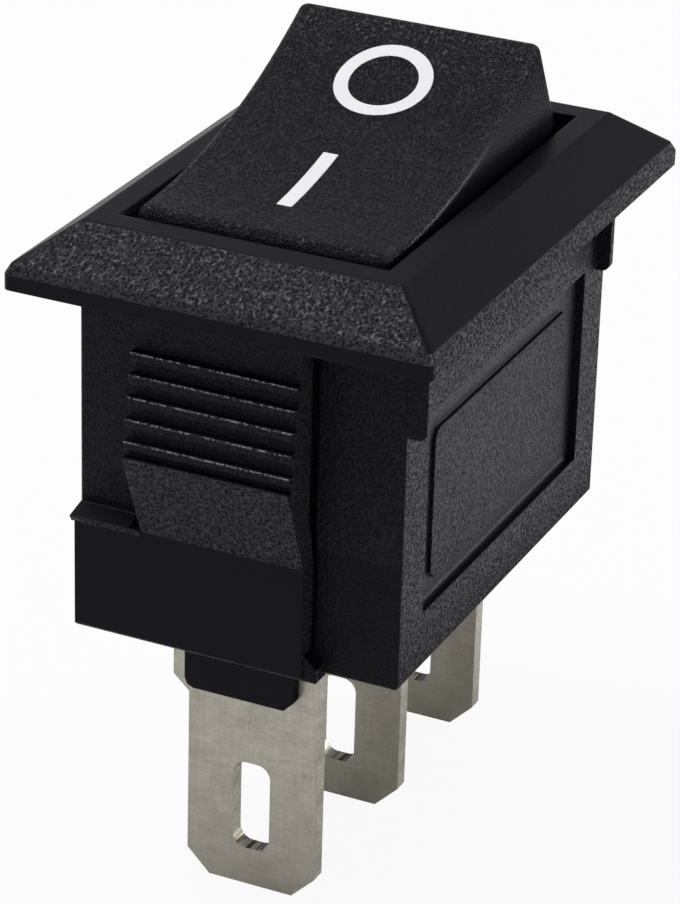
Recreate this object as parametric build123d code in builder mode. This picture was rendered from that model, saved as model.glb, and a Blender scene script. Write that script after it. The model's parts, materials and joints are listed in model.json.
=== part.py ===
import os
from math import cos, radians, sin, tan

from build123d import *

# Panel rocker switch, millimetres. The origin is the centre of the panel seat:
# +Z up through the rocker, X along the long side, Y across.
# The opening for the rocker is the main size: bezel, body, rocker and contacts follow it.

# opening
OPENING_L = 15.55
OPENING_W = 9.56

# bezel, outwards from the opening
RIM_FLAT_END = 0.925
RIM_FLAT_SIDE = 0.87
BEVEL_END = 1.85
BEVEL_SIDE = 1.9
LIP_H = 0.72
RIM_H = 2.14
BEZEL_CORNER_R = 0.27
RIM_EDGE_R = 0.16
LIP_EASE_H = 0.19
LIP_EASE_IN = 0.15

# body
END_WALL = 0.685
SIDE_WALL = 1.08
CAVITY_STEP = 0.525
CAVITY_STEP_Z = -0.7
BODY_BOTTOM = -12.28
BODY_CORNER_R = 0.14
BODY_FOOT_R = 0.12
FLOOR_T = 1.0

# end blocks, at the -X end, mirrored to the +X end
BLOCK_OUT = 0.69
BLOCK_TOP = -8.06
BLOCK_SIDE_IN = 0.16
BLOCK_LEDGE_OUT = 0.12
BLOCK_LEDGE_H = 0.42
BLOCK_LEDGE_DROP = 0.2
BLOCK_DROP = 0.12
BLOCK_EDGE_R = 0.12
WEB_Y = -3.2
WEB_TOP = -11.45
WEB_SLOPE_H = 0.45

# snap arms that stand up from the end blocks
ARM_Y0 = -2.72
ARM_Y1 = 3.22
ARM_TOP = -0.3
ARM_FACE_OUT = 1.2
ARM_BACK_OUT = 0.34
ARM_ROOT_H = 1.6
ARM_ROOT_T = 0.35
RIDGE_TOP = -1.5
RIDGE_PITCH = 0.74
RIDGE_COUNT = 5
RIDGE_OUT = 1.47
RIDGE_FLARE = 0.115
RIDGE_DEPTH = 0.3
RIDGE_FACE_H = 0.27
RIDGE_UNDERCUT_H = 0.15
WEDGE_OUT = 2.04
WEDGE_Z = -5.02
WEDGE_FOOT_Z = -8.3
WEDGE_HEEL = 0.4
SLOT_W = 0.1
POCKET_IN = 0.61
POCKET_TOP = -0.7
BLIND_SLOT_W = 0.42

# corner ribs under the bezel
RIB_T = 0.28
RIB_ROUND = 0.3
RIB_NEAR_IN = 0.06
RIB_NEAR_OUT = 0.68
RIB_NEAR_H = 3.15
RIB_FAR_IN = 0.96
RIB_FAR_OUT = 0.54
RIB_FAR_H = 3.27

# recess in the long walls and the bare label panel in it
LABEL_END_IN = 1.86
LABEL_TOP = -3.05
LABEL_FOOT = -10.27
LABEL_DEPTH = 0.35
LABEL_COVE_R = 0.22
PANEL_END_IN = 1.0
PANEL_TOP = -4.1
PANEL_FOOT = -9.57
PANEL_H = 0.15
PANEL_CORNER = 0.3

# feet under the housing
FOOT_T = 0.42
FOOT_Y0 = -1.68
FOOT_Y1 = 2.4
FOOT_BOTTOM = -14.68
FOOT_ROUND = 0.34
FOOT_ROUND_MID = 0.1
FOOT_CHAMFER = 0.36

# rocker, drawn about its own pivot
TILT = 15.8
PIVOT_Z = -0.2
ROCKER_END_GAP = 0.825
ROCKER_SIDE_GAP = 0.22
ROCKER_END_DRAFT = 0.65
ROCKER_SIDE_DRAFT = 0.09
TOP_END_Z = 4.4
TOP_MID_Z = 3.5
SKIRT_Z = 0.6
ROCKER_EDGE_R = 0.34
ROCKER_WALL = 0.95
HOLLOW_END_IN = 0.86
EAR_R = 1.5
PIN_R = 0.9
PIN_GAP = 0.05
PIN_REACH = 0.37
PIN_END_GAP = 0.1
BOSS_R = 1.9
BOSS_FOOT = -4.2
BORE_R = 1.2
BORE_TOP = 1.2

# plunger and spring
PLUNGER_GAP = 0.05
PLUNGER_TOP = -2.2
PLUNGER_STEP = -5.0
PLUNGER_BEVEL = 0.15
TIP_R = 0.8
TIP_REACH = 7.3
SPRING_WIRE = 0.3
SPRING_OD = 2.1
SPRING_TURNS = 5
SPRING_END_GAP = 0.03

# see-saw contact bridge
BRIDGE_CLEAR = 0.06
BRIDGE_T = 0.4
BRIDGE_LIFT = 0.04
BRIDGE_OVERHANG = 0.9
BRIDGE_W = 3.8
BRIDGE_V = 5.0
BRIDGE_TILT = 5.5
BRIDGE_CORNER_R = 0.6
CONTACT_R = 1.0
CONTACT_H = 0.35
SHANK_R = 0.5
TAIL_R = 0.75
TAIL_H = 0.15
TAIL_GAP = 0.15
CONTACT_BEVEL = 0.14
CONTACT_GAP = 0.05

# terminals
THROW_IN = 0.48
CONTACT_IN = 1.57
COMMON_X = 0.1
BLADE_T = 0.6
BLADE_W = 4.86
BLADE_TIP = -22.1
BLADE_CHAMFER = 0.85
BLADE_SLOT_W = 1.38
BLADE_SLOT_TOP = -17.3
BLADE_SLOT_FOOT = -20.68
BLADE_SLOT_R = 0.5
SHOULDER_OUT = 0.6
SHOULDER_FOOT = -14.55
SHOULDER_SLOPE = 0.55
TONGUE_W = 3.2
TONGUE_OVERHANG = 1.1
BEND_R = 0.25
FULCRUM_W = 3.4
KNIFE_H = 0.42
KNIFE_W = 0.12
GUIDE_X = 0.6
GUIDE_GAP = 0.15
GUIDE_TOP = -7.4

# how far an added piece runs into the body, and a cut runs past it
BURY = 0.5
OVERCUT = 1.0

# sizes that follow
rim_l = OPENING_L + 2 * RIM_FLAT_END
rim_w = OPENING_W + 2 * RIM_FLAT_SIDE
bezel_l = rim_l + 2 * BEVEL_END
eased_l = bezel_l - 2 * LIP_EASE_IN
eased_w = rim_w + 2 * BEVEL_SIDE * (1 - LIP_EASE_IN / BEVEL_END)
ease_top = LIP_H + (RIM_H - LIP_H) * LIP_EASE_IN / BEVEL_END
bezel_w = rim_w + 2 * BEVEL_SIDE
body_l = OPENING_L + 2 * END_WALL
body_w = OPENING_W + 2 * SIDE_WALL
cavity_l = OPENING_L - 2 * CAVITY_STEP
floor_top = BODY_BOTTOM + FLOOR_T
block_x = -body_l / 2 - BLOCK_OUT
block_y = body_w / 2 - BLOCK_SIDE_IN
block_foot = BODY_BOTTOM - BLOCK_DROP
arm_face_x = -body_l / 2 - ARM_FACE_OUT
arm_back_x = -body_l / 2 - ARM_BACK_OUT
ridge_x = -body_l / 2 - RIDGE_OUT
wedge_x = -body_l / 2 - WEDGE_OUT
pocket_x = -body_l / 2 + POCKET_IN
label_x = body_l / 2 - LABEL_END_IN
skirt_x = OPENING_L / 2 - ROCKER_END_GAP
top_end_x = skirt_x - ROCKER_END_DRAFT
rocker_w_foot = OPENING_W - 2 * ROCKER_SIDE_GAP
rocker_w_top = rocker_w_foot - 2 * ROCKER_SIDE_DRAFT
pin_out = OPENING_W / 2 + PIN_REACH
throw_x = cavity_l / 2 - THROW_IN
contact_x = throw_x - CONTACT_IN
tongue_end = contact_x - TONGUE_OVERHANG
bridge_half_l = contact_x + BRIDGE_OVERHANG
hinge_z = PIVOT_Z - TIP_REACH - BRIDGE_CLEAR - BRIDGE_T - BRIDGE_LIFT


def midpoint(a, b):
    return (a + b) / 2


# rocker frame
tilt = radians(TILT)
along = (cos(tilt), 0, sin(tilt))
up = (-sin(tilt), 0, cos(tilt))
pivot = (0, 0, PIVOT_Z)
rocker_flat = Plane(origin=pivot, x_dir=along, z_dir=up)
rocker_side = Plane(origin=pivot, x_dir=along, z_dir=(0, -1, 0))
rocker_width = Plane(origin=pivot, x_dir=(0, 1, 0), z_dir=along)

# bridge frame
dip = radians(BRIDGE_TILT)
bridge_origin = (0, 0, hinge_z)
bridge_side = Plane(origin=bridge_origin, x_dir=(cos(dip), 0, -sin(dip)), z_dir=(0, -1, 0))
vee = radians(BRIDGE_V)


def wing_plane(side):
    """Plane on the underside of one wing, at the contact, normal away from the terminals."""
    a = vee * side - dip
    out = contact_x
    rise = BRIDGE_LIFT + contact_x * tan(vee)
    x = side * out * cos(dip) + rise * sin(dip)
    z = hinge_z - side * out * sin(dip) + rise * cos(dip)
    return Plane(origin=(x, 0, z), x_dir=(cos(a), 0, sin(a)), z_dir=(-sin(a), 0, cos(a)))


closed_wing = wing_plane(1)
open_wing = wing_plane(-1)
fixed_top = closed_wing.origin.Z - CONTACT_H - CONTACT_GAP
tongue_top = fixed_top - CONTACT_H
tongue_foot = tongue_top - BLADE_T
foot_x = throw_x + BLADE_T / 2
slot_mid = midpoint(BLADE_SLOT_TOP, BLADE_SLOT_FOOT)
slot_len = BLADE_SLOT_TOP - BLADE_SLOT_FOOT

# housing
with BuildPart() as housing:
    with BuildSketch(Plane.XY):
        RectangleRounded(bezel_l, bezel_w, BEZEL_CORNER_R)
    extrude(amount=LIP_H - LIP_EASE_H)
    # the lip's top edge is eased, then the bevel runs up to the rim
    with BuildSketch(Plane.XY.offset(LIP_H - LIP_EASE_H)):
        RectangleRounded(bezel_l, bezel_w, BEZEL_CORNER_R)
    with BuildSketch(Plane.XY.offset(ease_top)):
        RectangleRounded(eased_l, eased_w, BEZEL_CORNER_R)
    loft()
    with BuildSketch(Plane.XY.offset(ease_top)):
        RectangleRounded(eased_l, eased_w, BEZEL_CORNER_R)
    with BuildSketch(Plane.XY.offset(RIM_H)):
        RectangleRounded(rim_l, rim_w, BEZEL_CORNER_R / 3)
    loft()
    rim_edges = housing.faces().sort_by(Axis.Z)[-1].edges()
    fillet(rim_edges, RIM_EDGE_R)
    # body
    with BuildSketch(Plane.XY):
        RectangleRounded(body_l, body_w, BODY_CORNER_R)
    extrude(amount=BODY_BOTTOM)
    foot_edges = housing.faces().sort_by(Axis.Z)[0].edges()
    fillet(foot_edges, BODY_FOOT_R)
    # end blocks under the ledges
    with BuildSketch(Plane.XZ.offset(-block_y)):
        with BuildLine():
            Polyline(
                (-body_l / 2 + BURY, BLOCK_TOP),
                (-body_l / 2, BLOCK_TOP),
                (block_x, BLOCK_TOP - BLOCK_LEDGE_DROP),
                (block_x, block_foot + BLOCK_EDGE_R),
                (block_x + BLOCK_EDGE_R, block_foot),
                (-body_l / 2 + BURY, block_foot),
                close=True,
            )
        make_face()
        mirror(about=Plane.YZ)
    extrude(amount=block_y - ARM_Y0)
    # ledge strip along the top of each block
    with BuildSketch(Plane.XZ.offset(-block_y - BLOCK_LEDGE_OUT)):
        with BuildLine():
            Polyline(
                (-body_l / 2 + BURY, BLOCK_TOP),
                (-body_l / 2, BLOCK_TOP),
                (block_x - BLOCK_LEDGE_OUT, BLOCK_TOP - BLOCK_LEDGE_DROP),
                (block_x, BLOCK_TOP - BLOCK_LEDGE_H),
                (-body_l / 2 + BURY, BLOCK_TOP - BLOCK_LEDGE_H),
                close=True,
            )
        make_face()
        mirror(about=Plane.YZ)
    extrude(amount=block_y + BLOCK_LEDGE_OUT - ARM_Y1)
    # pockets behind the snap arms
    with BuildSketch(Plane.XZ.offset(-ARM_Y1 - BLIND_SLOT_W)):
        with BuildLine():
            Polyline(
                (pocket_x, POCKET_TOP),
                (block_x - OVERCUT, POCKET_TOP),
                (block_x - OVERCUT, BLOCK_TOP),
                (pocket_x, BLOCK_TOP - BLOCK_LEDGE_H),
                close=True,
            )
        make_face()
        mirror(about=Plane.YZ)
    extrude(amount=ARM_Y1 + BLIND_SLOT_W - ARM_Y0 + SLOT_W, mode=Mode.SUBTRACT)
    with BuildSketch(Plane.XZ.offset(-ARM_Y0)):
        with BuildLine():
            Polyline(
                (pocket_x, POCKET_TOP),
                (block_x - OVERCUT, POCKET_TOP),
                (block_x - OVERCUT, WEB_TOP),
                (pocket_x, WEB_TOP),
                close=True,
            )
        make_face()
        mirror(about=Plane.YZ)
    extrude(amount=SLOT_W, mode=Mode.SUBTRACT)
    # snap arms with their locking ridges and lead-in wedge
    ridge_points = []
    for step in range(RIDGE_COUNT):
        top = RIDGE_TOP - step * RIDGE_PITCH
        tip = ridge_x - step * RIDGE_FLARE
        ridge_points.append((tip + RIDGE_DEPTH, top))
        ridge_points.append((tip, top))
        ridge_points.append((tip, top - RIDGE_FACE_H))
        ridge_points.append((tip - RIDGE_FLARE + RIDGE_DEPTH, top - RIDGE_FACE_H - RIDGE_UNDERCUT_H))
    with BuildSketch(Plane.XZ.offset(-ARM_Y1)):
        with BuildLine():
            Polyline(
                (arm_back_x, ARM_TOP),
                (arm_face_x, ARM_TOP),
                *ridge_points,
                (ridge_points[-1][0], WEDGE_Z),
                (wedge_x, WEDGE_Z),
                (block_x, WEDGE_FOOT_Z),
                (block_x + BURY, WEDGE_FOOT_Z - WEDGE_HEEL),
                (arm_back_x + BURY, WEDGE_FOOT_Z - WEDGE_HEEL),
                (arm_back_x + ARM_ROOT_T, BLOCK_TOP),
                (arm_back_x, BLOCK_TOP + ARM_ROOT_H),
                close=True,
            )
        make_face()
        mirror(about=Plane.YZ)
    extrude(amount=ARM_Y1 - ARM_Y0)
    # ribs on one long wall that centre the body in the panel
    rib_near_x = -body_l / 2 + RIB_NEAR_IN
    rib_far_x = body_l / 2 - RIB_FAR_IN
    for rib_x, rib_out, rib_h in ((rib_near_x, RIB_NEAR_OUT, RIB_NEAR_H), (rib_far_x, RIB_FAR_OUT, RIB_FAR_H)):
        with BuildSketch(Plane.YZ.offset(rib_x)) as rib:
            with Locations((-midpoint(body_w / 2 - BURY, body_w / 2 + rib_out), midpoint(LIP_H / 2, -rib_h))):
                Rectangle(rib_out + BURY, rib_h + LIP_H / 2)
            fillet(rib.vertices().group_by(Axis.X)[0].sort_by(Axis.Y)[0], RIB_ROUND)
        extrude(amount=RIB_T)
    # recess and bare label panel in each long wall, with a cove along the recess's foot
    for wall in (-1, 1):
        wall_plane = Plane(origin=(0, wall * body_w / 2, 0), x_dir=(-wall, 0, 0), z_dir=(0, wall, 0))
        with BuildSketch(wall_plane):
            with Locations((0, midpoint(LABEL_TOP, LABEL_FOOT))):
                Rectangle(2 * label_x, LABEL_TOP - LABEL_FOOT)
        extrude(amount=-LABEL_DEPTH, mode=Mode.SUBTRACT)
        recess_foot = housing.edges(Select.LAST).filter_by(Axis.X).group_by(Axis.Z)[0].sort_by(Axis.Y)
        fillet(recess_foot[0] if wall > 0 else recess_foot[-1], LABEL_COVE_R)
        with BuildSketch(wall_plane.offset(-LABEL_DEPTH)) as panel:
            with Locations((0, midpoint(PANEL_TOP, PANEL_FOOT))):
                Rectangle(2 * (label_x - PANEL_END_IN), PANEL_TOP - PANEL_FOOT)
            chamfer(panel.vertices(), PANEL_CORNER)
        extrude(amount=PANEL_H)
    # webs that close the open slot at its foot
    for side in (-1, 1):
        with BuildSketch(Plane.YZ.offset(-side * (block_x + BLOCK_EDGE_R))):
            with BuildLine():
                Polyline(
                    (ARM_Y0 + BURY, WEB_TOP),
                    (ARM_Y0, WEB_TOP),
                    (WEB_Y, WEB_TOP - WEB_SLOPE_H),
                    (WEB_Y, block_foot),
                    (ARM_Y0 + BURY, block_foot),
                    close=True,
                )
            make_face()
        extrude(amount=-side * (BLOCK_OUT - BLOCK_EDGE_R + BURY))
    # feet that back the end terminals
    for side in (-1, 1):
        with BuildSketch(Plane.YZ.offset(side * foot_x)):
            with BuildLine():
                Polyline(
                    (FOOT_Y1, BODY_BOTTOM + BURY),
                    (FOOT_Y1, FOOT_BOTTOM + FOOT_ROUND),
                    (FOOT_Y1 - FOOT_ROUND_MID, FOOT_BOTTOM + FOOT_ROUND_MID),
                    (FOOT_Y1 - FOOT_ROUND, FOOT_BOTTOM),
                    (FOOT_Y0 + FOOT_CHAMFER, FOOT_BOTTOM),
                    (FOOT_Y0, FOOT_BOTTOM + FOOT_CHAMFER),
                    (FOOT_Y0, BODY_BOTTOM + BURY),
                    close=True,
                )
            make_face()
        extrude(amount=side * FOOT_T)
    # cavity
    with BuildSketch(Plane.XY.offset(floor_top)):
        Rectangle(cavity_l, OPENING_W)
    extrude(amount=RIM_H - floor_top + OVERCUT, mode=Mode.SUBTRACT)
    with BuildSketch(Plane.XY.offset(CAVITY_STEP_Z)):
        Rectangle(OPENING_L, OPENING_W)
    extrude(amount=RIM_H - CAVITY_STEP_Z + OVERCUT, mode=Mode.SUBTRACT)
    # contact tables, bridge guides
    for end in (-1, 1):
        with BuildSketch(Plane.XY.offset(floor_top)):
            with Locations((end * midpoint(tongue_end, throw_x - BLADE_T / 2), 0)):
                Rectangle(throw_x - BLADE_T / 2 - tongue_end, TONGUE_W)
        extrude(amount=tongue_foot - floor_top)
        with BuildSketch(Plane.XY.offset(tongue_foot)):
            with Locations((end * contact_x, 0)):
                Circle(TAIL_R + TAIL_GAP)
        extrude(amount=-TAIL_H - TAIL_GAP, mode=Mode.SUBTRACT)
    for wall in (-1, 1):
        guide_in = BRIDGE_W / 2 + GUIDE_GAP
        with BuildSketch(Plane.XY.offset(floor_top)):
            with Locations((0, wall * midpoint(guide_in, OPENING_W / 2))):
                Rectangle(2 * GUIDE_X, OPENING_W / 2 - guide_in)
        extrude(amount=GUIDE_TOP - floor_top)
    # terminal slots through the floor
    with BuildSketch(Plane.XY.offset(BODY_BOTTOM - OVERCUT)):
        for blade_x in (-throw_x, COMMON_X, throw_x):
            with Locations((blade_x, 0)):
                Rectangle(BLADE_T, BLADE_W)
    extrude(amount=FLOOR_T + OVERCUT, mode=Mode.SUBTRACT)
    with BuildSketch(Plane.XY.offset(BODY_BOTTOM - OVERCUT)):
        for blade_x in (-throw_x, COMMON_X, throw_x):
            with Locations((blade_x, BLADE_W / 2 + SHOULDER_OUT / 2)):
                Rectangle(BLADE_T, SHOULDER_OUT)
    extrude(amount=OVERCUT + FLOOR_T / 2, mode=Mode.SUBTRACT)
    # pivot holes in the long walls
    with BuildSketch(Plane.XZ.offset(-pin_out - PIN_END_GAP)):
        with Locations((0, PIVOT_Z)):
            Circle(PIN_R + PIN_GAP)
    extrude(amount=2 * (pin_out + PIN_END_GAP), mode=Mode.SUBTRACT)

# rocker
with BuildPart() as rocker:
    with BuildSketch(rocker_side.offset(-rocker_w_foot / 2)):
        with BuildLine():
            ThreePointArc((-top_end_x, TOP_END_Z), (0, TOP_MID_Z), (top_end_x, TOP_END_Z))
            Polyline(
                (top_end_x, TOP_END_Z),
                (skirt_x, SKIRT_Z),
                (-skirt_x, SKIRT_Z),
                (-top_end_x, TOP_END_Z),
            )
        make_face()
    extrude(amount=rocker_w_foot)
    # side draft
    with BuildSketch(rocker_width.offset(-skirt_x - OVERCUT)):
        for side in (-1, 1):
            with BuildLine():
                Polyline(
                    (side * rocker_w_foot / 2, SKIRT_Z),
                    (side * rocker_w_top / 2, TOP_END_Z),
                    (side * rocker_w_top / 2, TOP_END_Z + OVERCUT),
                    (side * (rocker_w_foot / 2 + OVERCUT), TOP_END_Z + OVERCUT),
                    (side * (rocker_w_foot / 2 + OVERCUT), SKIRT_Z),
                    close=True,
                )
            make_face()
    extrude(amount=2 * (skirt_x + OVERCUT), mode=Mode.SUBTRACT)
    shell_edges = rocker.edges().filter_by(lambda e: (e.center() - Vector(*pivot)).dot(Vector(*up)) > SKIRT_Z + ROCKER_EDGE_R)
    fillet(shell_edges, ROCKER_EDGE_R)
    # hollow underside
    with BuildSketch(rocker_side.offset(-rocker_w_top / 2 + ROCKER_WALL)):
        with BuildLine():
            ThreePointArc(
                (-top_end_x + HOLLOW_END_IN, TOP_END_Z - ROCKER_WALL),
                (0, TOP_MID_Z - ROCKER_WALL),
                (top_end_x - HOLLOW_END_IN, TOP_END_Z - ROCKER_WALL),
            )
            Polyline(
                (top_end_x - HOLLOW_END_IN, TOP_END_Z - ROCKER_WALL),
                (skirt_x - ROCKER_WALL, SKIRT_Z),
                (-skirt_x + ROCKER_WALL, SKIRT_Z),
                (-top_end_x + HOLLOW_END_IN, TOP_END_Z - ROCKER_WALL),
            )
        make_face()
    extrude(amount=rocker_w_top - 2 * ROCKER_WALL, mode=Mode.SUBTRACT)
    # ears that carry the pivot pins
    for side in (-1, 1):
        ear_in = side * (rocker_w_top / 2 - ROCKER_WALL)
        with BuildSketch(rocker_side.offset(ear_in)):
            Circle(EAR_R)
            with Locations((0, midpoint(0, SKIRT_Z + ROCKER_EDGE_R))):
                Rectangle(2 * EAR_R, SKIRT_Z + ROCKER_EDGE_R)
        extrude(amount=side * (rocker_w_foot / 2) - ear_in)
        with BuildSketch(rocker_side.offset(ear_in)):
            Circle(PIN_R)
        extrude(amount=side * pin_out - ear_in)
    # boss that guides the plunger
    with BuildSketch(rocker_flat.offset(BOSS_FOOT)):
        Circle(BOSS_R)
    extrude(amount=TOP_MID_Z - ROCKER_WALL + PIN_GAP - BOSS_FOOT)
    with BuildSketch(rocker_flat.offset(BOSS_FOOT)):
        Circle(BORE_R)
    extrude(amount=BORE_TOP - BOSS_FOOT, mode=Mode.SUBTRACT)

# plunger
tip_centre = -TIP_REACH + TIP_R
plunger_r = BORE_R - PLUNGER_GAP
with BuildPart() as plunger:
    with BuildSketch(rocker_side):
        with BuildLine():
            Polyline(
                (0, PLUNGER_TOP),
                (plunger_r - PLUNGER_BEVEL, PLUNGER_TOP),
                (plunger_r, PLUNGER_TOP - PLUNGER_BEVEL),
                (plunger_r, PLUNGER_STEP + plunger_r - TIP_R),
                (TIP_R, PLUNGER_STEP),
                (TIP_R, tip_centre),
            )
            ThreePointArc(
                (TIP_R, tip_centre),
                (TIP_R * sin(radians(45)), tip_centre - TIP_R * cos(radians(45))),
                (0, -TIP_REACH),
            )
            Line((0, -TIP_REACH), (0, PLUNGER_TOP))
        make_face()
    revolve(axis=Axis(pivot, up))

# spring
spring_r = (SPRING_OD - SPRING_WIRE) / 2
spring_foot = PLUNGER_TOP + SPRING_WIRE / 2 + SPRING_END_GAP
spring_rise = BORE_TOP - PLUNGER_TOP - SPRING_WIRE - 2 * SPRING_END_GAP
with BuildPart() as spring:
    with BuildLine():
        coil = Helix(
            pitch=spring_rise / SPRING_TURNS,
            height=spring_rise,
            radius=spring_r,
            center=rocker_flat.offset(spring_foot).origin,
            direction=up,
        )
    with BuildSketch(Plane(origin=coil @ 0, z_dir=coil % 0)):
        RegularPolygon(SPRING_WIRE / 2, 6)
    sweep()

# contact bridge
wing_z = BRIDGE_LIFT + bridge_half_l * tan(vee)
with BuildPart() as contact_bridge:
    with BuildSketch(bridge_side.offset(-BRIDGE_W / 2)):
        with BuildLine():
            Polyline(
                (0, BRIDGE_LIFT),
                (bridge_half_l, wing_z),
                (bridge_half_l, wing_z + BRIDGE_T),
                (0, BRIDGE_LIFT + BRIDGE_T),
                (-bridge_half_l, wing_z + BRIDGE_T),
                (-bridge_half_l, wing_z),
                close=True,
            )
        make_face()
    extrude(amount=BRIDGE_W)
    end_edges = contact_bridge.edges().filter_by(
        lambda e: abs(e.center().X) > contact_x and abs(abs(e.center().Y) - BRIDGE_W / 2) < e.length < BRIDGE_CORNER_R
    )
    fillet(end_edges, BRIDGE_CORNER_R)
    for wing in (open_wing, closed_wing):
        with BuildSketch(wing.offset(-OVERCUT)):
            Circle(SHANK_R)
        extrude(amount=BRIDGE_T + 2 * OVERCUT, mode=Mode.SUBTRACT)


def rivet(seat, plate_t):
    """A riveted contact: head below the seat plane, shank through the plate, upset tail above it."""
    with BuildPart() as made:
        with BuildSketch(seat.offset(-CONTACT_H)):
            Circle(CONTACT_R)
        extrude(amount=CONTACT_H)
        head_edge = made.faces().sort_by(Axis(seat.origin, seat.z_dir))[0].edges()
        chamfer(head_edge, CONTACT_BEVEL)
        with BuildSketch(seat):
            Circle(SHANK_R)
        extrude(amount=plate_t)
        with BuildSketch(seat.offset(plate_t)):
            Circle(TAIL_R)
        extrude(amount=TAIL_H)
    return made


wing_t = BRIDGE_T * cos(vee)
moving_contact_open = rivet(open_wing, wing_t)
moving_contact_closed = rivet(closed_wing, wing_t)
fixed_seat_a = Plane(origin=(-contact_x, 0, tongue_top), x_dir=(1, 0, 0), z_dir=(0, 0, -1))
fixed_seat_b = Plane(origin=(contact_x, 0, tongue_top), x_dir=(1, 0, 0), z_dir=(0, 0, -1))
fixed_contact_open = rivet(fixed_seat_a, BLADE_T)
fixed_contact_closed = rivet(fixed_seat_b, BLADE_T)


# terminals
def blade_outline():
    """Outline of the tab below the housing, drawn in YZ, with its shoulder on the +Y edge."""
    half = BLADE_W / 2
    Polyline(
        (-half, floor_top),
        (-half, BLADE_TIP + BLADE_CHAMFER),
        (-half + BLADE_CHAMFER, BLADE_TIP),
        (half - BLADE_CHAMFER, BLADE_TIP),
        (half, BLADE_TIP + BLADE_CHAMFER),
        (half, SHOULDER_FOOT - SHOULDER_SLOPE),
        (half + SHOULDER_OUT, SHOULDER_FOOT),
        (half + SHOULDER_OUT, BODY_BOTTOM + FLOOR_T / 2),
        (half, BODY_BOTTOM + FLOOR_T / 2),
        (half, floor_top),
        close=True,
    )


def throw_terminal(side):
    """A throw terminal: the tab, the riser inside the housing and the tongue that carries a contact."""
    outer = side * (throw_x + BLADE_T / 2)
    inner = side * (throw_x - BLADE_T / 2)
    with BuildPart() as made:
        with BuildSketch(Plane.YZ.offset(side * throw_x - BLADE_T / 2)):
            with BuildLine():
                blade_outline()
            make_face()
            with Locations((0, slot_mid)):
                RectangleRounded(BLADE_SLOT_W, slot_len, BLADE_SLOT_R, mode=Mode.SUBTRACT)
        extrude(amount=BLADE_T)
        with BuildSketch(Plane.XZ.offset(-TONGUE_W / 2)):
            with BuildLine():
                Polyline(
                    (outer, floor_top),
                    (outer, tongue_top - BEND_R),
                    (outer - side * BEND_R, tongue_top),
                    (side * tongue_end, tongue_top),
                    (side * tongue_end, tongue_foot),
                    (inner, tongue_foot),
                    (inner, floor_top),
                    close=True,
                )
            make_face()
        extrude(amount=TONGUE_W)
        with BuildSketch(Plane.XY.offset(tongue_foot - OVERCUT)):
            with Locations((side * contact_x, 0)):
                Circle(SHANK_R)
        extrude(amount=BLADE_T + 2 * OVERCUT, mode=Mode.SUBTRACT)
    return made


throw_terminal_open = throw_terminal(-1)
throw_terminal_closed = throw_terminal(1)

with BuildPart() as common_terminal:
    with BuildSketch(Plane.YZ.offset(COMMON_X - BLADE_T / 2)):
        with BuildLine():
            blade_outline()
        make_face()
        with Locations((0, slot_mid)):
            RectangleRounded(BLADE_SLOT_W, slot_len, BLADE_SLOT_R, mode=Mode.SUBTRACT)
    extrude(amount=BLADE_T)
    # fulcrum with a knife edge along Y
    with BuildSketch(Plane.XZ.offset(-FULCRUM_W / 2)):
        with BuildLine():
            Polyline(
                (COMMON_X - BLADE_T / 2, floor_top),
                (COMMON_X - BLADE_T / 2, hinge_z - KNIFE_H),
                (-KNIFE_W / 2, hinge_z),
                (KNIFE_W / 2, hinge_z),
                (COMMON_X + BLADE_T / 2, hinge_z - KNIFE_H),
                (COMMON_X + BLADE_T / 2, floor_top),
                close=True,
            )
        make_face()
    extrude(amount=FULCRUM_W)

# export
housing.part.label = "housing"
rocker.part.label = "rocker"
plunger.part.label = "plunger"
spring.part.label = "spring"
contact_bridge.part.label = "contact_bridge"
moving_contact_open.part.label = "moving_contact_open"
moving_contact_closed.part.label = "moving_contact_closed"
fixed_contact_open.part.label = "fixed_contact_open"
fixed_contact_closed.part.label = "fixed_contact_closed"
throw_terminal_open.part.label = "throw_terminal_open"
throw_terminal_closed.part.label = "throw_terminal_closed"
common_terminal.part.label = "common_terminal"

os.makedirs("parts", exist_ok=True)
for piece in (
    housing,
    rocker,
    plunger,
    spring,
    contact_bridge,
    moving_contact_open,
    moving_contact_closed,
    fixed_contact_open,
    fixed_contact_closed,
    throw_terminal_open,
    throw_terminal_closed,
    common_terminal,
):
    export_step(piece.part, "parts/" + piece.part.label + ".step")
    box = piece.part.bounding_box()
    print(piece.part.label, len(piece.part.solids()), round(piece.part.volume, 2), box.min, box.max)
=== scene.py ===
import json
import math

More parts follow.
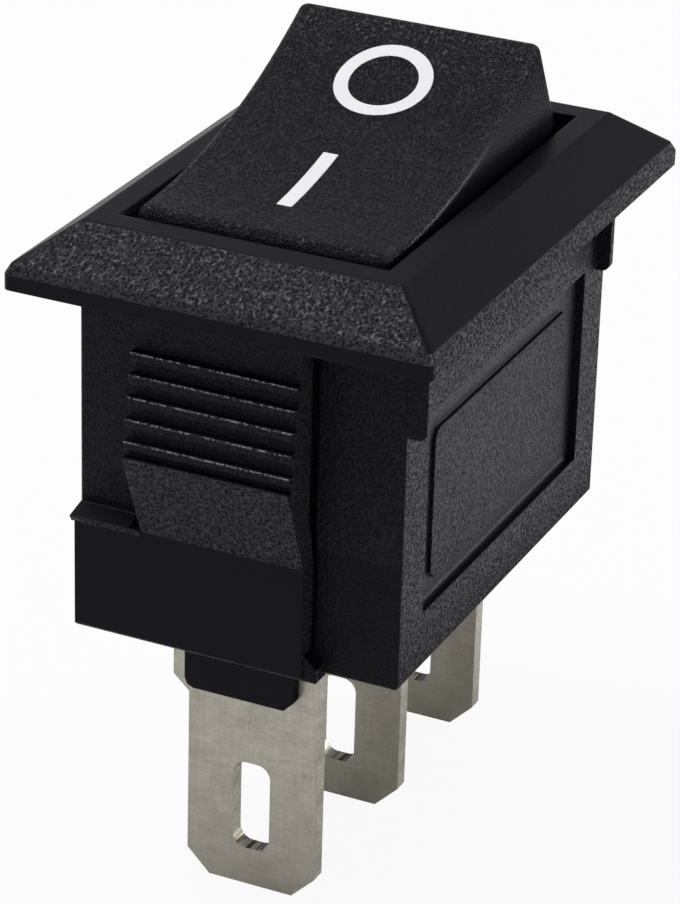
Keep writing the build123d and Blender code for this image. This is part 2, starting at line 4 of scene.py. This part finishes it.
import bpy
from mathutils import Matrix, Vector

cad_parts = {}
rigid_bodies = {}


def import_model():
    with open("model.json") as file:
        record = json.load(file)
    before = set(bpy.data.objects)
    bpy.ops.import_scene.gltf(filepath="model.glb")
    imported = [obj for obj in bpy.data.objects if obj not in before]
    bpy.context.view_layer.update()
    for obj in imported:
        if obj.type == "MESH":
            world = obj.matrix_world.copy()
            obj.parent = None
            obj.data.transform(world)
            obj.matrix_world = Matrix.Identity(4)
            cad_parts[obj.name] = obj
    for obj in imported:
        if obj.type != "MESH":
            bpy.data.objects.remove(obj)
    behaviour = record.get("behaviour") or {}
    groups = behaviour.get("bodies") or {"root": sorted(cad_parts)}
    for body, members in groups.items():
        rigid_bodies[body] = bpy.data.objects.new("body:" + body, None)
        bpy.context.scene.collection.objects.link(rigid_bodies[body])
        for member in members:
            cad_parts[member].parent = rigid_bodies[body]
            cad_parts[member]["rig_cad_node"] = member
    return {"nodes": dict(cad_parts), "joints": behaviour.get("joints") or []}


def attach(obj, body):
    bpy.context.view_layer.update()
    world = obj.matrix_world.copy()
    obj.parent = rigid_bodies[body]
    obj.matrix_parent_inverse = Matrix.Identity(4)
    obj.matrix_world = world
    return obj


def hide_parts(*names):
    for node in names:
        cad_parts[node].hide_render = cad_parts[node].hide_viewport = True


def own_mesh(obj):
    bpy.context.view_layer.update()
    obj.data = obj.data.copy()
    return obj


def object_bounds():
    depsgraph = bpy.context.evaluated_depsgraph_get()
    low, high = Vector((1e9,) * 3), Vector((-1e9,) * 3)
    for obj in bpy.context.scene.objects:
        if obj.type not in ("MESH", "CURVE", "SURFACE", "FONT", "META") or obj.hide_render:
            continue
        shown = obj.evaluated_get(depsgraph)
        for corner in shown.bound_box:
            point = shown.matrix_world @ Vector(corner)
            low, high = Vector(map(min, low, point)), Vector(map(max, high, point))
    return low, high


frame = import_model()
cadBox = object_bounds()
nodes = frame["nodes"]
scene = bpy.context.scene
mm = 0.001
white = (1.0, 1.0, 1.0, 1.0)


# one socket of a finish, so that maths on it reads as plain Python
class Wire:
    def __init__(self, tree, socket=None):
        self.tree = tree
        self.socket = socket

    def node(self, kind, settings=None, inputs=None, output=0):
        # the settings are made first, then each socket gets its value or its link
        made = self.tree.nodes.new("ShaderNode" + kind)
        for key, value in (settings or {}).items():
            setattr(made, key, value)
        for key, value in (inputs or {}).items():
            if isinstance(value, Wire):
                self.tree.links.new(value.socket, made.inputs[key])
            else:
                made.inputs[key].default_value = value
        return Wire(self.tree, made.outputs[output] if len(made.outputs) else None)

    def maths(self, operation, first, second=0.0):
        return self.node("Math", {"operation": operation}, {0: first, 1: second})

    def __add__(self, other):
        return self.maths("ADD", self, other)

    def __radd__(self, other):
        return self.maths("ADD", other, self)

    def __sub__(self, other):
        return self.maths("SUBTRACT", self, other)

    def __rsub__(self, other):
        return self.maths("SUBTRACT", other, self)

    def __mul__(self, other):
        return self.maths("MULTIPLY", self, other)

    def __rmul__(self, other):
        return self.maths("MULTIPLY", other, self)

    def __truediv__(self, other):
        return self.maths("DIVIDE", self, other)

    def __rtruediv__(self, other):
        return self.maths("DIVIDE", other, self)

    def __abs__(self):
        return self.maths("ABSOLUTE", self)

    def fraction(self):
        return self.maths("FRACT", self)

    def larger(self, other):
        return self.maths("MAXIMUM", self, other)

    def smaller(self, other):
        return self.maths("MINIMUM", self, other)

    def step(self, low, high):
        # 0 below low, 1 above high, smooth between
        return self.node(
            "MapRange",
            {"interpolation_type": "SMOOTHSTEP"},
            {"Value": self, "From Min": low, "From Max": high},
        )

    def within(self, low, high, soft):
        return self.step(low - soft, low + soft) * (1 - self.step(high - soft, high + soft))

    def spread(self):
        # most of a noise lies from 0.3 to 0.7, and this takes it to 0 and 1
        return self.step(0.3, 0.7)

    def along(self, axis):
        return self.node("SeparateXYZ", {}, {0: self}, axis)

    def stretch(self, by):
        return self.node("VectorMath", {"operation": "MULTIPLY"}, {0: self, 1: by})

    def blend(self, share, first, second):
        # sockets 6 and 7 are the two colours, and output 2 is the colour between them
        return self.node("Mix", {"data_type": "RGBA"}, {0: share, 6: first, 7: second}, 2)


def newFinish(name):
    material = bpy.data.materials.new(name)
    material.use_nodes = True
    material.node_tree.nodes.clear()
    return material, Wire(material.node_tree)


def places(sheet):
    # where a spot is on the object, and which way it faces
    return sheet.node("TexCoord", output="Object"), sheet.node("TexCoord", output="Normal")


def noise(spot, size, detail=2.0, rough=0.5, offset=0.0):
    # size is the width of one blotch in mm
    return spot.node(
        "TexNoise",
        {"noise_dimensions": "4D"},
        {
            "Vector": spot,
            "W": offset,
            "Scale": 1 / (size * mm),
            "Detail": detail,
            "Roughness": rough,
        },
    )


def craters(spot, size):
    return spot.node(
        "TexVoronoi",
        {"feature": "SMOOTH_F1"},
        {"Vector": spot, "Scale": 1 / (size * mm), "Smoothness": 0.6},
        "Distance",
    )


def relief(sheet, height, depth, edge):
    # a height of 1 stands depth mm high, and sharp edges look rounded by edge mm
    rounded = sheet.node("Bevel", {"samples": 6}, {"Radius": edge * mm})
    return sheet.node(
        "Bump",
        {},
        {"Height": height, "Strength": 1.0, "Distance": depth * mm, "Normal": rounded},
    )


def weighed(parts, shares):
    # the sum of the parts, each times its share
    return sum(parts[name] * share for name, share in shares.items())


camera = {
    "place": (-108.448, -49.261, 48.791),  # mm
    "turn": (64.288, -1.5165, -64.7136),  # degrees
    "lens": 152.54,  # mm
    "sensor": 36.0,  # mm
    "clip": (0.01, 20.0),  # m
}
bpy.ops.object.camera_add(
    location=[v * mm for v in camera["place"]],
    rotation=[math.radians(v) for v in camera["turn"]],
)
eye = bpy.context.object
eye.name = "camera"
eye.data.lens = camera["lens"]
eye.data.sensor_width = camera["sensor"]
eye.data.clip_start, eye.data.clip_end = camera["clip"]
scene.camera = eye
scene.view_settings.view_transform = "Standard"
print("camera set")

studio = {
    "lamps": {
        # name: place in m, size in m, watts
        "sideBox": ((0.42, -0.50, 0.11), 0.24, 2.5),
        "topBox": ((-0.06, 0.25, 0.66), 0.38, 4.2),
    },
    "aim": (0, 0, -0.008),  # m
    "ambient": 0.28,
    "skyGloss": 0.33,  # what a gloss sees high up, where the white background is 1
    "horizon": (0.0, 0.18),  # where that fades in, as a share of straight up
    "floor": (0.64, 0.64, 0.64, 1.0),
    "floorSize": 8.0,  # m
    "floorGap": 0.02,  # mm under the tips of the tabs
    "floorGlow": 0.93,  # how white the eye sees the floor
    "floorGloss": 0.12,  # how white a gloss sees it
}


def addLamp(name, place, size, watts):
    bpy.ops.object.light_add(type="AREA", location=place)
    lamp = bpy.context.object
    lamp.name = name
    lamp.data.energy = watts
    lamp.data.size = size
    aim = Vector(studio["aim"]) - Vector(place)
    lamp.rotation_euler = aim.to_track_quat("-Z", "Y").to_euler()


for name, (place, size, watts) in studio["lamps"].items():
    addLamp(name, place, size, watts)


def raysFrom(sheet):
    # 1 for rays that the eye sends, and 1 for those that a gloss or a glass sends
    eyeRay, gloss, glass = [
        sheet.node("LightPath", output=kind)
        for kind in ("Is Camera Ray", "Is Glossy Ray", "Is Transmission Ray")
    ]
    return eyeRay, gloss.larger(glass)


world = bpy.data.worlds.new("studioWorld")
scene.world = world
world.use_nodes = True
world.node_tree.nodes.clear()
air = Wire(world.node_tree)
eyeRay, shine = raysFrom(air)
height = air.node("TexCoord", output="Generated").along("Z")
inGloss = 1 - height.step(*studio["horizon"]) * (1 - studio["skyGloss"])
strength = eyeRay.larger(shine * inGloss).larger(studio["ambient"])
sky = air.node("Background", {}, {"Color": white, "Strength": strength})
air.node("OutputWorld", {}, {"Surface": sky})

bpy.ops.object.select_all(action="DESELECT")
bpy.ops.mesh.primitive_plane_add(
    size=studio["floorSize"], location=(0, 0, cadBox[0].z - studio["floorGap"] * mm)
)
floor = bpy.context.object
floor.name = "floor"
material, sheet = newFinish("paleFloor")
matt = sheet.node("BsdfDiffuse", {}, {"Color": studio["floor"]})
glow = sheet.node("Emission", {}, {"Color": white, "Strength": 1.0})
eyeRay, shine = raysFrom(sheet)
share = (eyeRay * studio["floorGlow"]).larger(shine * studio["floorGloss"])
mixed = sheet.node("MixShader", {}, {0: share, 1: matt, 2: glow})
sheet.node("OutputMaterial", {}, {"Surface": mixed})
floor.data.materials.append(material)
print("floor and lamps set")

blackPlastic = {
    # the grain's colour follows its height: the pits are painted dark as the shade inside them,
    # the ridges lighter
    "pit": (0.0010, 0.0010, 0.0030, 1.0),
    "ridge": (0.062, 0.062, 0.069, 1.0),
    "plain": (0.0038, 0.0038, 0.0060, 1.0),  # where there is no grain
    # the colour of painted highlights
    "highlightColour": (0.34, 0.34, 0.37, 1.0),
    "tint": (0.90, 0.92, 1.0, 1.0),
    "specular": 0.125,
    "grainSize": 0.085,  # mm
    "cellSize": 1.4,  # times the grain's
    "bendSize": 1.5,  # times the grain's
    "grainMix": {"fine": 0.75, "cells": 0.3, "bent": 0.1},
    "grainDepth": 0.055,  # mm
    "grainStretch": (0.75, 1.0, 1.0),
    "grainRange": (0.38, 0.72),  # heights at which a pit ends and a ridge begins
    "roughPlain": 0.36,
    "roughPit": 0.75,
    "roughRidge": 0.22,
    "roughRange": (0.12, 0.95),
    "cloudSize": 2.4,  # mm
    "cloudRough": 0.08,
    "edge": 0.09,  # mm
}


def grainRelief(spot, settings):
    # overlapping shallow craters, 0 in a pit and 1 on a ridge
    spot = spot.stretch(settings["grainStretch"])
    size = settings["grainSize"]
    patterns = {
        "fine": noise(spot, size, rough=0.6),
        "cells": craters(spot, size * settings["cellSize"]),
        "bent": noise(spot, size * settings["bendSize"], detail=0.0, offset=5.0),
    }
    return weighed(patterns, settings["grainMix"]).step(*settings["grainRange"])


def plasticFinish(name, settings, zonesOf):
    material, sheet = newFinish(name)
    spot, facing = places(sheet)
    zones = zonesOf(spot, facing)
    deep, light, dull, highlight = [
        weighed(zones, settings[effect]) for effect in ("deep", "light", "dull", "highlight")
    ]
    deep = deep.smaller(1.0)
    grain = grainRelief(spot, settings)
    # painted shade: the grain's pits take a near-black colour, its ridges a lighter one
    speck = sheet.blend(grain, settings["pit"], settings["ridge"])
    tone = sheet.blend(light, settings["plain"], speck)
    # painted highlight: zones are lightened towards a light grey
    tone = sheet.blend(highlight, tone, settings["highlightColour"])
    clouds = noise(spot, settings["cloudSize"], detail=3.0, rough=0.55)
    grainRough = grain * (settings["roughRidge"] - settings["roughPit"]) + settings["roughPit"]
    rough = deep * grainRough + (1 - deep) * settings["roughPlain"]
    rough = rough + (clouds - 0.5) * settings["cloudRough"] + dull
    least, most = settings["roughRange"]
    body = sheet.node(
        "BsdfPrincipled",
        {},
        {
            "Base Color": tone,
            "Roughness": rough.larger(least).smaller(most),
            "Specular IOR Level": settings["specular"],
            "Specular Tint": settings["tint"],
            "Normal": relief(sheet, grain * deep, settings["grainDepth"], settings["edge"]),
        },
    )
    sheet.node("OutputMaterial", {}, {"Surface": body})
    return material


housingPlastic = dict(
    blackPlastic,
    # how deep and light the grain is in each zone, how dull the zone is, and how much painted
    # highlight it takes
    deep={
        "all": 0.05,
        "endBevel": 0.78,
        "longWall": 0.95,
        "recess": -0.45,
        "recessBase": -0.35,
        "wedge": 0.95,
        "shoulder": 0.4,
        "post": 0.4,
    },
    light={
        "all": 0.02,
        "endBevel": 0.9,
        "longWall": 0.75,
        "recess": -0.2,
        "wedge": 0.9,
        "shoulder": 0.2,
        "post": 0.03,
        "lip": 0.15,
        # painted shade: the long wall darkens towards its bottom
        "shadedLowerWall": -0.72,
    },
    dull={"lip": 0.16, "shadedLowerWall": 0.44, "recessBase": -0.06},
    # painted highlights: on the recess base, the lip's far end and the upper edges of the grip
    # ridges
    highlight={"recessBase": 0.06, "lipEndHighlight": 0.06, "ridgeGlints": 0.9},
    # how far a zone's faces have to turn outwards, upwards or downwards, from none of it to all
    turned={
        "square": (0.8, 0.95),
        "bevelOut": (0.35, 0.55),
        "bevelUp": (0.3, 0.5),
        "wedgeOut": (0.4, 0.6),
        "wedgeDown": (0.2, 0.4),
    },
    # where a zone lies in mm, from none of it to all, or its ends and how softly they fade
    lies={
        "lip": (-0.15, -0.05),
        # where a painted highlight lies on the lip, for a lamp's reflection at its far end
        "lipEndHighlight": (7.5, 10.4),  # out from the middle
        "rubbedEnd": (0.0, 1.0),  # and only at this end
        "shadedLowerWall": (9.8, 14.6),  # down from the bezel
        "wallFace": 5.86,  # out from the middle
        "recess": (0.08, 0.12),  # in from the wall's face
        "recessBase": (0.26, 0.32),
        "recessEnds": (6.62, 6.68),  # out from the middle
        "shoulder": (-7.8, -0.1, 0.1),
        "postEdge": (2.85, 2.95),  # out from the middle
        "postTop": (7.7, 7.9),  # down from the bezel
    },
    ridges={
        "top": -1.5,  # mm
        "pitch": 0.74,  # mm
        "grip": (-4.6, -1.4, 0.02),  # mm, the ends and how softly they fade
        "out": (9.55, 9.6),  # mm out from the middle
        # how much of each ridge's upper edge takes the painted highlight
        "wornEdge": (0.05, 0.12),  # as a share of the pitch
        "speckSize": 0.09,  # mm
        "speckRange": (0.42, 0.6),
    },
)


def ridgeGlints(spot, x, z, endFace):
    # painted highlights along the upper edges of the grip ridges, broken into specks
    ridges = housingPlastic["ridges"]
    down = ((ridges["top"] - z) / ridges["pitch"]).fraction()
    onGrip = abs(x).step(*ridges["out"]) * z.within(*ridges["grip"])
    specks = noise(spot, ridges["speckSize"], detail=1.0, offset=4.0).step(*ridges["speckRange"])
    return endFace * onGrip * (1 - down.step(*ridges["wornEdge"])) * specks


def housingZones(spot, facing):
    x, y, z = [spot.along(axis) / mm for axis in "XYZ"]
    nx, ny, nz = [facing.along(axis) for axis in "XYZ"]
    turned = housingPlastic["turned"]
    lies = housingPlastic["lies"]
    longWall = abs(ny).step(*turned["square"])
    endFace = abs(nx).step(*turned["square"])
    lip = longWall * z.step(*lies["lip"])
    sunk = lies["wallFace"] - abs(y)
    recess = longWall * (1 - abs(x).step(*lies["recessEnds"])) * sunk.step(*lies["recess"])
    beside = endFace * (0 - y).step(*lies["postEdge"])
    return {
        "all": 1.0,
        "longWall": longWall,
        # the lower long wall, darkened with painted shade
        "shadedLowerWall": longWall * (0 - z).step(*lies["shadedLowerWall"]),
        "endBevel": abs(nx).step(*turned["bevelOut"]) * nz.step(*turned["bevelUp"]),
        "wedge": abs(nx).step(*turned["wedgeOut"]) * (0 - nz).step(*turned["wedgeDown"]),
        "lip": lip,
        # painted highlight on the lip's far end
        "lipEndHighlight": lip * abs(x).step(*lies["lipEndHighlight"]) * x.step(*lies["rubbedEnd"]),
        "recess": recess,
        # the recess base is smoother and shinier, and lightened with painted highlight
        "recessBase": recess * sunk.step(*lies["recessBase"]),
        "shoulder": endFace * z.within(*lies["shoulder"]),
        "post": beside * (0 - z).step(*lies["postTop"]),
        # painted highlights on the grip ridges' upper edges
        "ridgeGlints": ridgeGlints(spot, x, z, endFace),
    }


rockerPlastic = dict(
    blackPlastic,
    grainSize=0.075,  # mm
    grainDepth=0.075,  # mm
    edge=0.3,  # mm
    deep={"all": 0.8, "side": -0.25, "lowSide": -0.5},
    # lowSide darkens the side's low part by the gap with painted shade
    light={"all": 0.38, "lighterTopEnd": 0.26, "side": -0.12, "lowSide": -0.3},
    dull={"side": 0.42, "lowSide": -0.45, "sideFoot": -0.22},
    highlight={"all": 0.0},
    sideFacing=(0.75, 0.95),
    lowSide=(2.4, 5.0),  # mm, the height up to which sliding in the opening has polished it, and up to which painted shade darkens it by the gap
    sideFoot=(2.4, 3.3),  # mm
    lighterTopEnd=(1.5, 6.5),  # mm along x, where the top's colour turns lighter
)


def rockerZones(spot, facing):
    x, z = [spot.along(axis) / mm for axis in "XZ"]
    side = abs(facing.along("Y")).step(*rockerPlastic["sideFacing"])
    return {
        "all": 1.0,
        "side": side,
        # the side's low part: polished, and darkened with painted shade
        "lowSide": side * (1 - z.step(*rockerPlastic["lowSide"])),
        "sideFoot": side * (1 - z.step(*rockerPlastic["sideFoot"])),
        "lighterTopEnd": (1 - side) * x.step(*rockerPlastic["lighterTopEnd"]),
    }


housingFinish = plasticFinish("blackHousing", housingPlastic, housingZones)
rockerFinish = plasticFinish("blackRocker", rockerPlastic, rockerZones)
print("plastic set")

tabMetal = {
    "dark": (0.37, 0.345, 0.29, 1.0),
    "light": (0.64, 0.61, 0.535, 1.0),
    "sheared": (0.10, 0.085, 0.065, 1.0),
    "mottle": {"size": 0.9, "detail": 4.0, "rough": 0.6},
    "grit": {"size": 0.09, "rough": 0.6, "offset": 7.0},
    "streaks": {"size": 0.10, "rough": 0.6, "offset": 3.0},
    "streakStretch": (1.0, 1.0, 0.06),  # along z
    "rolled": {"size": 0.16, "rough": 0.6, "offset": 9.0},
    "rolledStretch": (1.0, 0.12, 1.0),  # along y
    "torn": {"size": 0.13, "detail": 1.0, "offset": 11.0},
    "tornStretch": (0.05, 1.0, 0.3),  # through the metal's thickness
    "tornRange": (0.42, 0.58),
    # what each pattern adds to the tone and the relief of the faces and the cut edges
    "faceTone": {"mottle": 0.4, "streaks": 0.2, "rolled": 0.2, "grit": 0.3},
    "cutTone": {"coarseGrit": 0.7, "mottle": 0.3},
    "coarseGrit": (0.35, 0.65),
    "faceRelief": {"streaks": 0.25, "grit": 0.7},
    "cutRelief": {"torn": 2.5, "grit": 1.5},  # more than on the faces
    "depth": 0.007,  # mm
    "edge": 0.06,  # mm
    "metallic": 0.9,
    "roughFace": 0.34,
    "mottleRough": 0.16,
    "roughCut": 0.42,
    "tornRough": 0.1,
    "faceTurned": (0.7, 0.9),
    "upTurned": (0.25, 0.5),
    "tip": cadBox[0].z / mm,  # mm
    "dulled": 8.0,  # mm up from the tip
    "tipLight": 0.65,  # how light the tip is, where 1 is clean
}


def tabFinish(name, settings):
    material, sheet = newFinish(name)
    spot, facing = places(sheet)
    mottle = noise(spot, **settings["mottle"])
    grit = noise(spot, **settings["grit"])
    streaks = noise(spot.stretch(settings["streakStretch"]), **settings["streaks"])
    rolled = noise(spot.stretch(settings["rolledStretch"]), **settings["rolled"])
    torn = noise(spot.stretch(settings["tornStretch"]), **settings["torn"])
    torn = torn.step(*settings["tornRange"])
    flat = abs(facing.along("X")).step(*settings["faceTurned"])
    up = facing.along("Z").step(*settings["upTurned"])  # the lower edge of each slot

    clean = (spot.along("Z") / mm).step(settings["tip"], settings["tip"] + settings["dulled"])
    wear = clean * (1 - settings["tipLight"]) + settings["tipLight"]
    spreads = {
        "mottle": mottle.spread(),
        "streaks": streaks.spread(),
        "rolled": rolled.spread(),
        "grit": grit.spread(),
    }
    faceTone = (weighed(spreads, settings["faceTone"]) * wear).smaller(1.0)
    cutPatterns = {"coarseGrit": grit.step(*settings["coarseGrit"]), "mottle": mottle}
    cutTone = weighed(cutPatterns, settings["cutTone"])
    plated = sheet.blend(faceTone, settings["dark"], settings["light"])
    cut = sheet.blend(cutTone, settings["dark"], settings["light"])
    sheared = sheet.blend(torn, settings["sheared"], settings["light"])
    colour = sheet.blend(flat, sheet.blend(up, cut, sheared), plated)

    roughFace = mottle * settings["mottleRough"] + settings["roughFace"]
    roughCut = torn * settings["tornRough"] + settings["roughCut"]
    faceRelief = weighed({"streaks": streaks, "grit": grit}, settings["faceRelief"])
    cutRelief = weighed({"torn": up * torn, "grit": grit}, settings["cutRelief"])
    height = faceRelief + (1 - flat) * cutRelief
    body = sheet.node(
        "BsdfPrincipled",
        {},
        {
            "Base Color": colour,
            "Metallic": settings["metallic"],
            "Roughness": flat * roughFace + (1 - flat) * roughCut,
            "Normal": relief(sheet, height, settings["depth"], settings["edge"]),
        },
    )
    sheet.node("OutputMaterial", {}, {"Surface": body})
    return material


def mottledFinish(name, dark, light, rough, settings):
    # for the small parts inside, and for the white print
    material, sheet = newFinish(name)
    spot = sheet.node("TexCoord", output="Object")
    mottle = noise(spot, **settings["mottle"])
    grit = noise(spot, **settings["grit"])
    height = weighed({"grit": grit, "mottle": mottle}, settings["relief"])
    tone = weighed({"mottle": mottle.spread(), "grit": grit}, settings["tone"]).smaller(1.0)
    body = sheet.node(
        "BsdfPrincipled",
        {},
        {
            "Base Color": sheet.blend(tone, dark, light),
            "Metallic": settings["metallic"],
            "Roughness": rough + (mottle - 0.5) * settings["mottleRough"],
            "Normal": relief(sheet, height, settings["depth"], settings["edge"]),
        },
    )
    sheet.node("OutputMaterial", {}, {"Surface": body})
    return material


softMetal = {
    # brass, silver and spring steel
    "mottle": {"size": 0.7, "detail": 4.0, "rough": 0.6},
    "grit": {"size": 0.07, "rough": 0.6, "offset": 5.0},
    "tone": {"mottle": 0.7, "grit": 0.3},
    "relief": {"grit": 0.6, "mottle": 0.4},
    "mottleRough": 0.15,
    "metallic": 1.0,
    "depth": 0.005,  # mm
    "edge": 0.04,  # mm
}
palePlastic = {
    # the plunger's nylon, and the white print
    "mottle": {"size": 0.8, "detail": 3.0},
    "grit": {"size": 0.06, "rough": 0.6, "offset": 2.0},
    "tone": {"mottle": 0.7, "grit": 0.3},
    "relief": {"grit": 1.0},
    "mottleRough": 0.1,
    "metallic": 0.0,
    "depth": 0.004,  # mm
    "edge": 0.03,  # mm
}
tabCoat = tabFinish("platedTab", tabMetal)
brass = mottledFinish(
    "bridgeBrass", (0.52, 0.36, 0.14, 1.0), (0.72, 0.54, 0.26, 1.0), 0.35, softMetal
)
silver = mottledFinish(
    "contactSilver", (0.62, 0.62, 0.60, 1.0), (0.84, 0.84, 0.82, 1.0), 0.32, softMetal
)
wire = mottledFinish(
    "springWire", (0.38, 0.38, 0.39, 1.0), (0.56, 0.56, 0.57, 1.0), 0.28, softMetal
)
print("metals set")

nylon = mottledFinish(
    "plungerNylon", (0.70, 0.68, 0.60, 1.0), (0.82, 0.80, 0.74, 1.0), 0.4, palePlastic
)
thickPrint = dict(palePlastic, depth=0.02)
whitePrint = mottledFinish(
    "whitePrint", (0.80, 0.80, 0.83, 1.0), (0.87, 0.87, 0.90, 1.0), 0.5, thickPrint
)
print("nylon and white print set")

finishes = {
    "housing": housingFinish,
    "rocker": rockerFinish,
    "plunger": nylon,
    "spring": wire,
    "contact_bridge": brass,
    "moving_contact_open": silver,
    "moving_contact_closed": silver,
    "fixed_contact_open": silver,
    "fixed_contact_closed": silver,
    "throw_terminal_open": tabCoat,
    "throw_terminal_closed": tabCoat,
    "common_terminal": tabCoat,
}
for name, finish in finishes.items():
    mesh = nodes[name].data
    if not mesh.materials:
        mesh.materials.append(finish)
    for place in range(len(mesh.materials)):
        mesh.materials[place] = finish
print("finishes given to the solids")

# a smoothed copy of the coil spring stands in for it, carried with the rocker body
slide = next(joint for joint in frame["joints"] if joint["name"] == "plunger_slide")
coilSpring = {
    "along": Vector(slide["axis"]).normalized(),
    "travel": slide["range_m"][1],
    "merge": 0.001,  # mm
    "smooth": 65,  # degrees
}
bpy.ops.object.select_all(action="DESELECT")
nodes["spring"].select_set(True)
bpy.context.view_layer.objects.active = nodes["spring"]
bpy.ops.object.duplicate()
coil = bpy.context.object
coil.name = "springCoil"
del coil["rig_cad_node"]
bpy.ops.object.mode_set(mode="EDIT")
bpy.ops.mesh.select_all(action="SELECT")
bpy.ops.mesh.remove_doubles(threshold=coilSpring["merge"] * mm)
bpy.ops.object.mode_set(mode="OBJECT")
bpy.ops.object.shade_smooth_by_angle(angle=math.radians(coilSpring["smooth"]))
spots = sorted((vertex.co.copy() for vertex in coil.data.vertices), key=coilSpring["along"].dot)
length = coilSpring["along"].dot(spots[-1] - spots[0])
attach(coil, "rocker_body")
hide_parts("spring")
1 - coilSpring["travel"] / length
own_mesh(coil)
print("spring coil copied")

marks = {
    "pivot": (0.0, 0.0, -0.2),  # mm
    "tilt": 15.8,  # degrees
    "height": 4.6,  # mm above the pivot, before it drops onto the rocker
    # mm from the pivot, along the tilted top and across it
    "ring": {"x": 3.33, "y": 0.09, "outer": 1.70, "width": 0.50, "corners": 96},
    "bar": {"x": -2.45, "y": 0.19, "length": 3.54, "width": 0.54, "cells": (26, 3)},
    "proud": 0.014,  # mm
}


def markPlace(x, y):
    tilt = math.radians(marks["tilt"])
    along = Vector((math.cos(tilt), 0, math.sin(tilt)))
    up = Vector((-math.sin(tilt), 0, math.cos(tilt)))
    return (Vector(marks["pivot"]) + along * x + Vector((0, y, 0)) + up * marks["height"]) * mm


def layOnRocker(piece, name):
    # drops the flat mark onto the curved top and gives it its thin body
    piece.name = name
    drop = piece.modifiers.new("drop", "SHRINKWRAP")
    drop.target = nodes["rocker"]
    drop.wrap_method = "PROJECT"
    drop.use_project_z = True
    drop.use_negative_direction = True
    drop.use_positive_direction = False
    drop.offset = marks["proud"] * mm
    bpy.ops.object.modifier_apply(modifier=drop.name)
    body = piece.modifiers.new("body", "SOLIDIFY")
    body.thickness = 2 * marks["proud"] * mm
    body.offset = -1.0
    bpy.ops.object.modifier_apply(modifier=body.name)
    bpy.ops.object.transform_apply(location=True, rotation=True, scale=True)
    piece.data.materials.append(whitePrint)
    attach(piece, "rocker_body")


ring = marks["ring"]
bpy.ops.object.select_all(action="DESELECT")
bpy.ops.mesh.primitive_circle_add(
    vertices=ring["corners"],
    radius=ring["outer"] * mm,
    fill_type="NGON",
    location=markPlace(ring["x"], ring["y"]),
    rotation=(0, math.radians(-marks["tilt"]), 0),
)
bpy.ops.object.mode_set(mode="EDIT")
bpy.ops.mesh.select_all(action="SELECT")
bpy.ops.mesh.inset(thickness=ring["width"] * mm / 2)  # two rows of faces, so that it bends
bpy.ops.mesh.inset(thickness=ring["width"] * mm / 2)
bpy.ops.mesh.delete(type="FACE")
bpy.ops.object.mode_set(mode="OBJECT")
layOnRocker(bpy.context.object, "markO")

bar = marks["bar"]
bpy.ops.object.select_all(action="DESELECT")
bpy.ops.mesh.primitive_grid_add(
    x_subdivisions=bar["cells"][0],
    y_subdivisions=bar["cells"][1],
    size=1.0,
    location=markPlace(bar["x"], bar["y"]),
    rotation=(0, math.radians(-marks["tilt"]), 0),
)
bpy.ops.object.mode_set(mode="EDIT")
bpy.ops.mesh.select_all(action="SELECT")
bpy.ops.transform.resize(
    value=(bar["length"] * mm, bar["width"] * mm, 1.0), orient_type="LOCAL"
)
bpy.ops.object.mode_set(mode="OBJECT")
layOnRocker(bpy.context.object, "markI")
print("marks laid on the rocker")
